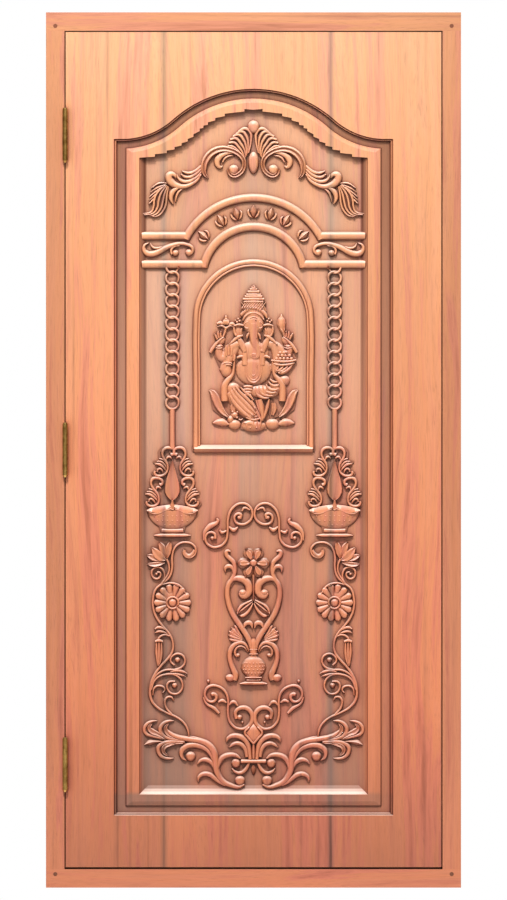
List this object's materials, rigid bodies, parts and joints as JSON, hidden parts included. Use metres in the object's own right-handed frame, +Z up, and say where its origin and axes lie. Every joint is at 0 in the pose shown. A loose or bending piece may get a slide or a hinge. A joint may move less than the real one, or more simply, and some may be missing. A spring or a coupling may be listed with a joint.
{
  "type": "carved temple door",
  "caption": "Solid teak door leaf with a carved temple relief in an ogee panel, hung on brass butt hinges in a rebated four-sided wooden frame.",
  "frame": {"origin": "middle of the threshold's underside, halfway through the frame's depth", "axes": "+X across the opening to the right of someone facing the carving, +Y from the carved face to the back, +Z up"},
  "size_m": [1.01, 0.1135, 2.13],
  "materials": {
    "carved_teak": "oiled, open grain",
    "frame_teak": "oiled, open grain",
    "peg_wood": "end grain, oiled",
    "hidden_wood": "raw",
    "hinge_brass": "aged, satin",
    "pin_brass": "polished by wear",
    "screw_brass": "aged"
  },
  "bodies": {
    "frame": {"left_jamb": "frame_teak", "right_jamb": "frame_teak", "head": "frame_teak", "threshold": "frame_teak", "top_left_peg": "peg_wood", "top_right_peg": "peg_wood", "bottom_left_peg": "peg_wood", "bottom_right_peg": "peg_wood", "top_hinge_frame_plate": "hinge_brass", "middle_hinge_frame_plate": "hinge_brass", "bottom_hinge_frame_plate": "hinge_brass", "top_hinge_pin": "pin_brass", "middle_hinge_pin": "pin_brass", "bottom_hinge_pin": "pin_brass", "top_hinge_frame_screws": "screw_brass", "middle_hinge_frame_screws": "screw_brass", "bottom_hinge_frame_screws": "screw_brass"},
    "leaf": {"left_board": "carved_teak", "centre_board": "carved_teak", "right_board": "carved_teak", "left_tongue": "hidden_wood", "right_tongue": "hidden_wood", "top_hinge_leaf_plate": "hinge_brass", "middle_hinge_leaf_plate": "hinge_brass", "bottom_hinge_leaf_plate": "hinge_brass", "top_hinge_leaf_screws": "screw_brass", "middle_hinge_leaf_screws": "screw_brass", "bottom_hinge_leaf_screws": "screw_brass"}
  },
  "joints": [
    {"name": "door_swing", "type": "hinge", "parent": "frame", "child": "leaf", "pos_m": [-0.4585, -0.057, 1.066], "axis": [0, 0, -1], "range_deg": [0, 170]}
  ]
}
